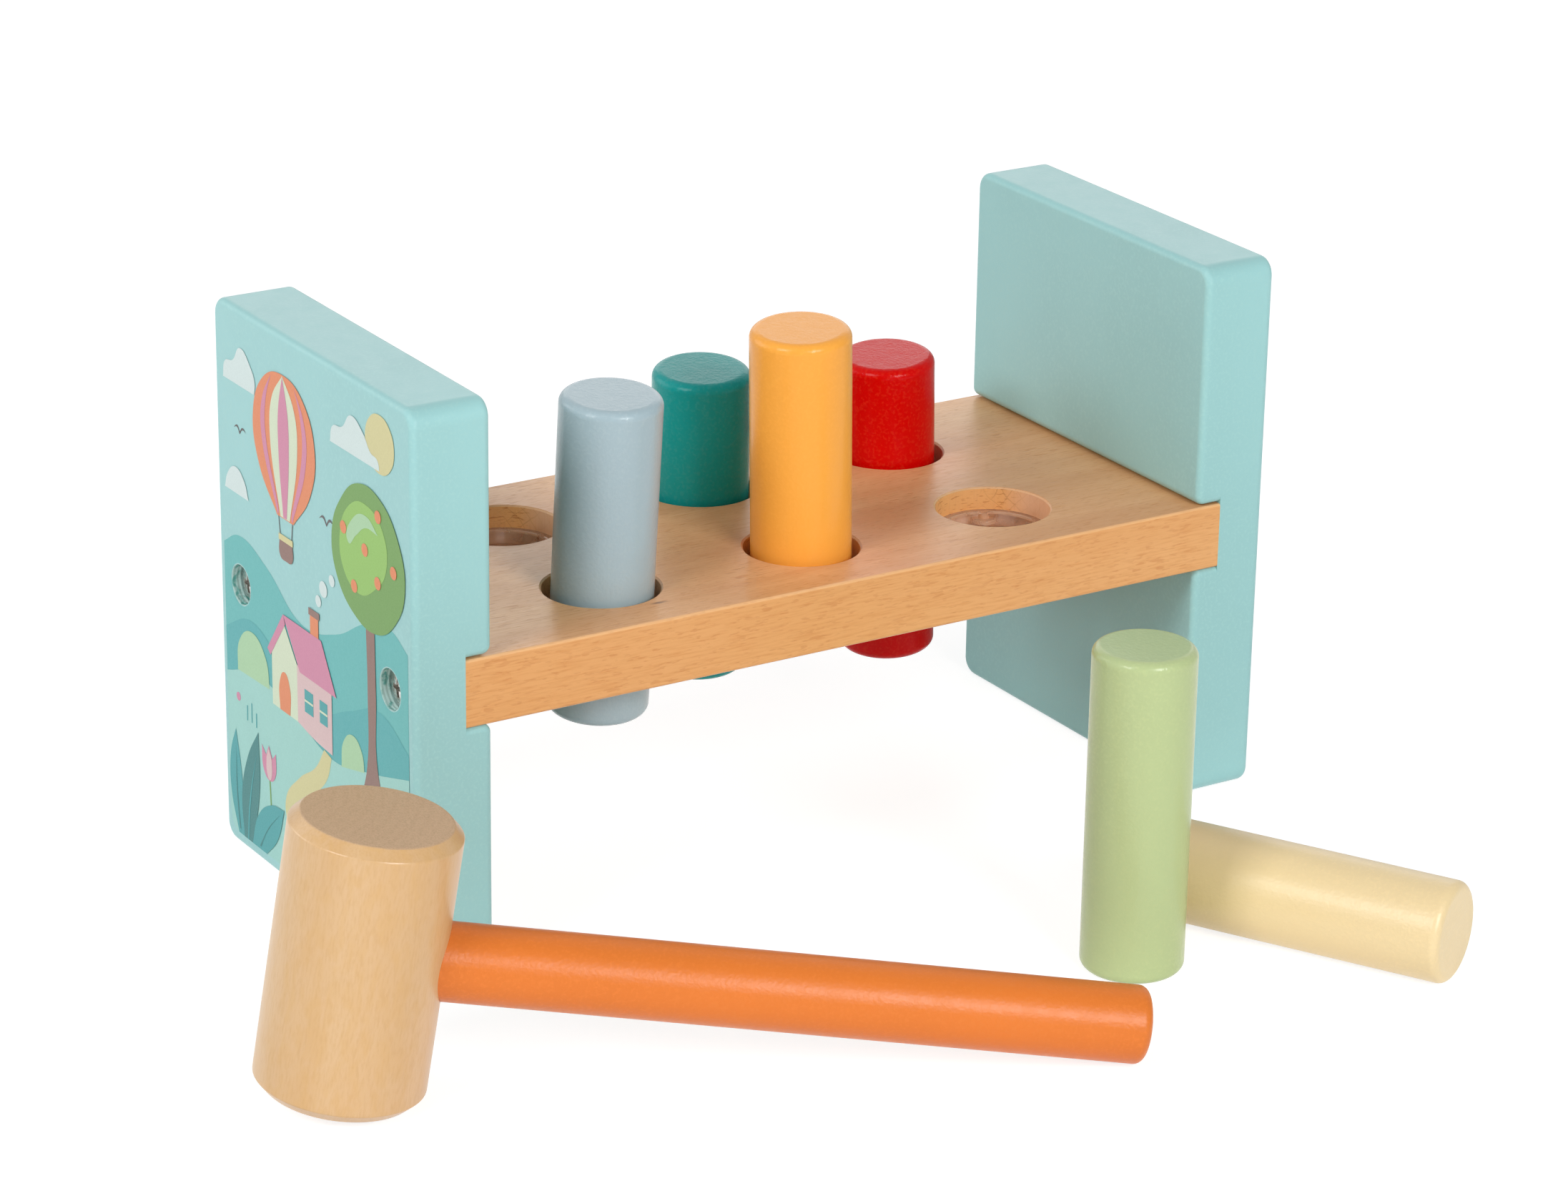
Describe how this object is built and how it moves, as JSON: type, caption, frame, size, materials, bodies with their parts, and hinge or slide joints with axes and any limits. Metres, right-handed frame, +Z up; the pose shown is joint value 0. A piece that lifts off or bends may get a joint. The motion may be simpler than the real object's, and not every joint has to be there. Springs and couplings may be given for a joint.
{
  "type": "peg pounding bench",
  "caption": "Wooden pounding bench with a drilled board between end panels, round pegs held by grip rings, and a mallet.",
  "frame": {"origin": "middle of the whole set's footprint, on the floor", "axes": "+X along the board from the printed left panel to the right panel, -Y towards the front where the loose pieces lie, +Z up"},
  "size_m": [0.2682, 0.201, 0.125],
  "materials": {
    "turquoise_paint": "satin paint over a fine-grained board",
    "beech": "clear satin lacquer over steamed beech",
    "pale_wood": "clear satin lacquer over a pale hardwood",
    "handle_orange_paint": "satin paint",
    "grey_paint": "satin paint, slight orange peel",
    "teal_paint": "satin paint, slight orange peel",
    "orange_paint": "satin paint, slight orange peel",
    "red_paint": "satin paint, slight orange peel",
    "green_paint": "satin paint, slight orange peel",
    "cream_paint": "satin paint, slight orange peel",
    "clear_plastic": "clear soft plastic",
    "screw_steel": "bright zinc plating"
  },
  "bodies": {
    "bench": {"bench_board": "beech", "left_panel": "turquoise_paint", "right_panel": "turquoise_paint", "grip_ring_back_left": "clear_plastic", "grip_ring_back_middle": "clear_plastic", "grip_ring_back_right": "clear_plastic", "grip_ring_front_left": "clear_plastic", "grip_ring_front_middle": "clear_plastic", "grip_ring_front_right": "clear_plastic", "screw_left_front": "screw_steel", "screw_left_back": "screw_steel", "screw_right_front": "screw_steel", "screw_right_back": "screw_steel"},
    "peg_grey": {"peg_grey": "grey_paint"},
    "peg_teal": {"peg_teal": "teal_paint"},
    "peg_orange": {"peg_orange": "orange_paint"},
    "peg_red": {"peg_red": "red_paint"},
    "peg_green": {"peg_green": "green_paint"},
    "peg_cream": {"peg_cream": "cream_paint"},
    "mallet": {"mallet_head": "pale_wood", "mallet_handle": "handle_orange_paint"}
  },
  "joints": [
    {"name": "grey_peg_slide", "type": "slide", "parent": "bench", "child": "peg_grey", "axis": [0.0051, -0.0731, 0.9973], "range_m": [-0.04125, 0.03375]},
    {"name": "teal_peg_slide", "type": "slide", "parent": "bench", "child": "peg_teal", "axis": [-0.0317, -0.068, 0.9972], "range_m": [-0.02624, 0.04877]},
    {"name": "orange_peg_slide", "type": "slide", "parent": "bench", "child": "peg_orange", "axis": [-0.0542, -0.0542, 0.9971], "range_m": [-0.04824, 0.02679]},
    {"name": "red_peg_slide", "type": "slide", "parent": "bench", "child": "peg_red", "axis": [-0.0574, -0.0482, 0.9972], "range_m": [-0.02134, 0.05367]},
    {"name": "green_peg_lift", "type": "slide", "parent": "bench", "child": "peg_green", "axis": [0, 0, 1], "range_m": [0, 0.13]},
    {"name": "cream_peg_lift", "type": "slide", "parent": "bench", "child": "peg_cream", "axis": [0, 0, 1], "range_m": [0, 0.13]},
    {"name": "mallet_lift", "type": "slide", "parent": "bench", "child": "mallet", "axis": [0, 0, 1], "range_m": [0, 0.13]}
  ]
}
